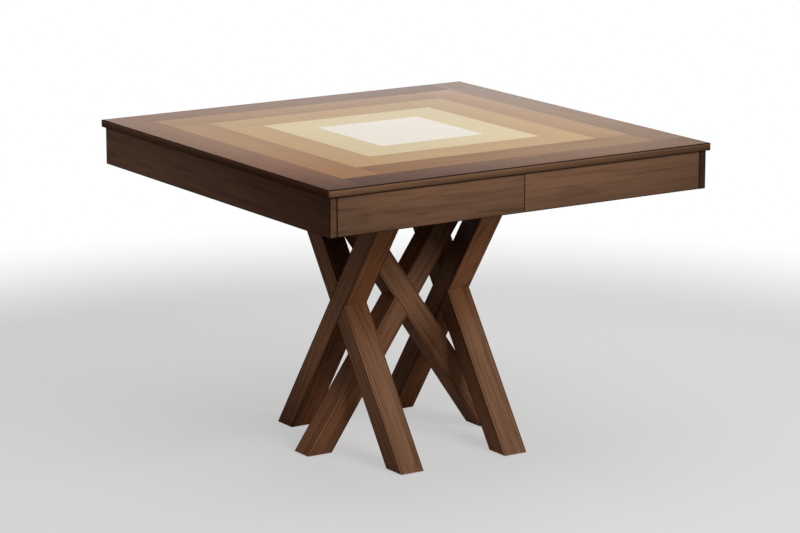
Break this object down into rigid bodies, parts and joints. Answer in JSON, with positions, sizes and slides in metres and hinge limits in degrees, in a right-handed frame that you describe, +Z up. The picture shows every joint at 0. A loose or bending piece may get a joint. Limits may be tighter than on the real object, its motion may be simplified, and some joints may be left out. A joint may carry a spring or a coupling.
{
  "type": "extending dining table",
  "caption": "Square wooden dining table on crossed legs, with nested frames of inlaid boards in a top that parts in the middle on geared slides.",
  "frame": {"origin": "on the floor, under the middle of the closed top", "axes": "+Z up, X along the slides on which the halves part, -Y towards the front apron"},
  "size_m": [1.073, 1.073, 0.772],
  "materials": {
    "walnut": "satin",
    "dark_walnut": "satin",
    "orange_wood": "satin",
    "tan_wood": "satin",
    "pale_wood": "satin",
    "white_wood": "satin",
    "inner_wood": "matte",
    "steel": "satin",
    "nylon": "matte"
  },
  "bodies": {
    "base": {"left_frame_front_leg": "walnut", "left_frame_back_leg": "walnut", "right_frame_front_leg": "walnut", "right_frame_back_leg": "walnut", "middle_frame_left_leg": "walnut", "middle_frame_right_leg": "walnut", "floor_glides": "nylon", "left_base_cleat": "inner_wood", "right_base_cleat": "inner_wood", "middle_base_cleat": "inner_wood", "leg_bolts": "steel", "rail_screws": "steel", "front_centre_rail": "inner_wood", "rear_centre_rail": "inner_wood", "pinion_shafts": "steel"},
    "left_half": {"left_core_panel": "inner_wood", "left_end_border": "walnut", "left_front_border": "walnut", "left_back_border": "walnut", "left_outer_frame_boards": "orange_wood", "left_middle_frame_boards": "tan_wood", "left_inner_frame_boards": "pale_wood", "left_centre_board": "white_wood", "left_end_apron": "dark_walnut", "left_front_apron": "walnut", "left_back_apron": "walnut", "left_corner_blocks": "inner_wood", "left_front_slide_rail": "inner_wood", "left_rear_slide_rail": "inner_wood", "left_front_rack": "steel", "left_rear_rack": "steel", "left_stop_pins": "steel", "left_slide_screws": "steel", "alignment_pins": "steel", "lock_plates": "steel", "lock_pivots": "steel"},
    "right_half": {"right_core_panel": "inner_wood", "right_end_border": "walnut", "right_front_border": "walnut", "right_back_border": "walnut", "right_outer_frame_boards": "orange_wood", "right_middle_frame_boards": "tan_wood", "right_inner_frame_boards": "pale_wood", "right_centre_board": "white_wood", "right_end_apron": "dark_walnut", "right_front_apron": "walnut", "right_back_apron": "walnut", "right_corner_blocks": "inner_wood", "right_front_slide_rail": "inner_wood", "right_rear_slide_rail": "inner_wood", "right_front_rack": "steel", "right_rear_rack": "steel", "right_stop_pins": "steel", "right_slide_screws": "steel", "lock_strikes": "steel"},
    "front_pinion": {"front_pinion": "nylon"},
    "rear_pinion": {"rear_pinion": "nylon"},
    "front_lock_lever": {"front_lock_lever": "steel"},
    "rear_lock_lever": {"rear_lock_lever": "steel"}
  },
  "joints": [
    {"name": "left_slide", "type": "slide", "parent": "base", "child": "left_half", "axis": [-1, 0, 0], "range_m": [0, 0.305]},
    {"name": "right_slide", "type": "slide", "parent": "base", "child": "right_half", "axis": [1, 0, 0], "range_m": [0, 0.305]},
    {"name": "front_pinion_spin", "type": "hinge", "parent": "base", "child": "front_pinion", "pos_m": [0, -0.3, 0.74], "axis": [0, 0, 1], "range_deg": [0, 971]},
    {"name": "rear_pinion_spin", "type": "hinge", "parent": "base", "child": "rear_pinion", "pos_m": [0, 0.3, 0.74], "axis": [0, 0, 1], "range_deg": [0, 971]},
    {"name": "front_lock", "type": "hinge", "parent": "left_half", "child": "front_lock_lever", "pos_m": [-0.028, -0.4, 0.749], "axis": [0, 0, 1], "range_deg": [0, 90]},
    {"name": "rear_lock", "type": "hinge", "parent": "left_half", "child": "rear_lock_lever", "pos_m": [-0.028, 0.4, 0.749], "axis": [0, 0, -1], "range_deg": [0, 90]}
  ],
  "couplings": [
    {"joint": "right_slide", "follows": "left_slide", "ratio": 1},
    {"joint": "front_pinion_spin", "follows": "left_slide", "rad_per_m": 55.556},
    {"joint": "rear_pinion_spin", "follows": "left_slide", "rad_per_m": 55.556}
  ]
}
